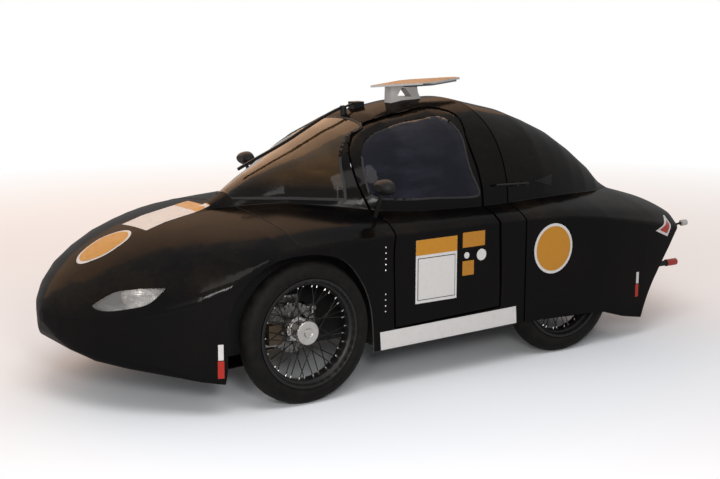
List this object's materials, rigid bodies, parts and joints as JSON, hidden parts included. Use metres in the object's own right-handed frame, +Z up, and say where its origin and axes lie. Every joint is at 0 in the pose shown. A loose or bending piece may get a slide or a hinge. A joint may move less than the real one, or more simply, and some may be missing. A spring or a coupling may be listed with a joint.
{
  "type": "urban_concept_car",
  "caption": "Closed one-seat efficiency car: low teardrop composite body with a glazed cabin pod, wire-spoked road wheels, side doors and a rear lid that tips up.",
  "frame": {"origin": "On the ground, at the middle of the car's length and width.", "axes": "+X points to the nose, +Y to the car's left, +Z up."},
  "size_m": [3.014, 1.265, 1.1659],
  "materials": {
    "body_black": "gloss",
    "window_clear": "gloss",
    "lamp_clear": "gloss",
    "composite_black": "matte",
    "frame_metal": "satin",
    "motor_metal": "satin",
    "pod_plastic": "satin",
    "trim_black": "matte",
    "lamp_red": "gloss",
    "bare_aluminium": "satin",
    "gold_aluminium": "satin",
    "bright_steel": "satin",
    "tyre_rubber": "matte"
  },
  "bodies": {
    "body": {"nose_shell": "body_black", "centre_body": "body_black", "windshield": "window_clear", "headlamp_left": "lamp_clear", "headlamp_right": "lamp_clear", "tub": "composite_black", "firewall": "composite_black", "seat": "composite_black", "roll_hoop": "frame_metal", "dash_bar": "frame_metal", "rear_frame": "frame_metal", "motor_block": "motor_metal", "roof_pod": "pod_plastic", "roof_pylon": "pod_plastic", "wiper": "trim_black", "mirror_left": "trim_black", "mirror_right": "trim_black", "rack_housing": "bare_aluminium", "front_arms_left": "bare_aluminium", "front_arms_right": "bare_aluminium"},
    "rear_lid": {"rear_shell": "body_black", "tail_lamps": "lamp_red", "rear_latches": "trim_black"},
    "left_door": {"door_left": "body_black", "door_glass_left": "window_clear"},
    "right_door": {"door_right": "body_black", "door_glass_right": "window_clear"},
    "rack": {"rack": "bright_steel"},
    "steering_wheel": {"steering_wheel": "trim_black"},
    "left_steer": {"knuckle_left": "bare_aluminium", "caliper_left": "gold_aluminium"},
    "front_left_wheel": {"tyre_front_left": "tyre_rubber", "wheel_front_left": "bare_aluminium", "brake_disc_front_left": "bright_steel"},
    "rear_left_wheel": {"tyre_rear_left": "tyre_rubber", "wheel_rear_left": "bare_aluminium", "brake_disc_rear_left": "bright_steel"},
    "right_steer": {"knuckle_right": "bare_aluminium", "caliper_right": "gold_aluminium"},
    "front_right_wheel": {"tyre_front_right": "tyre_rubber", "wheel_front_right": "bare_aluminium", "brake_disc_front_right": "bright_steel"},
    "rear_right_wheel": {"tyre_rear_right": "tyre_rubber", "wheel_rear_right": "bare_aluminium", "brake_disc_rear_right": "bright_steel"}
  },
  "joints": [
    {"name": "steer_left", "type": "hinge", "parent": "body", "child": "left_steer", "pos_m": [0.679, 0.462, 0.279], "axis": [0, 0, 1], "range_deg": [-18, 18]},
    {"name": "spin_front_left", "type": "hinge", "parent": "left_steer", "child": "front_left_wheel", "pos_m": [0.679, 0.585, 0.279], "axis": [0, 1, 0], "continuous": true},
    {"name": "spin_rear_left", "type": "hinge", "parent": "body", "child": "rear_left_wheel", "pos_m": [-0.639, 0.54, 0.279], "axis": [0, 1, 0], "continuous": true},
    {"name": "door_left_open", "type": "hinge", "parent": "body", "child": "left_door", "pos_m": [0.291, 0.628, 0.43], "axis": [0, 0, -1], "range_deg": [0, 60]},
    {"name": "steer_right", "type": "hinge", "parent": "body", "child": "right_steer", "pos_m": [0.679, -0.462, 0.279], "axis": [0, 0, 1], "range_deg": [-18, 18]},
    {"name": "spin_front_right", "type": "hinge", "parent": "right_steer", "child": "front_right_wheel", "pos_m": [0.679, -0.585, 0.279], "axis": [0, 1, 0], "continuous": true},
    {"name": "spin_rear_right", "type": "hinge", "parent": "body", "child": "rear_right_wheel", "pos_m": [-0.639, -0.54, 0.279], "axis": [0, 1, 0], "continuous": true},
    {"name": "door_right_open", "type": "hinge", "parent": "body", "child": "right_door", "pos_m": [0.291, -0.628, 0.43], "axis": [0, 0, 1], "range_deg": [0, 60]},
    {"name": "rear_lid_open", "type": "hinge", "parent": "body", "child": "rear_lid", "pos_m": [-1.086, 0, 0.15], "axis": [0, -1, 0], "range_deg": [0, 40]},
    {"name": "rack_slide", "type": "slide", "parent": "body", "child": "rack", "axis": [0, 1, 0], "range_m": [-0.0345, 0.0345]},
    {"name": "steering_turn", "type": "hinge", "parent": "body", "child": "steering_wheel", "pos_m": [0.334, 0, 0.61], "axis": [-0.652, 0, 0.7582], "range_deg": [-91, 91]}
  ],
  "couplings": [
    {"joint": "steer_right", "follows": "steer_left", "ratio": 1},
    {"joint": "rack_slide", "follows": "steer_left", "m_per_rad": -0.1082},
    {"joint": "steering_turn", "follows": "steer_left", "ratio": 5}
  ]
}
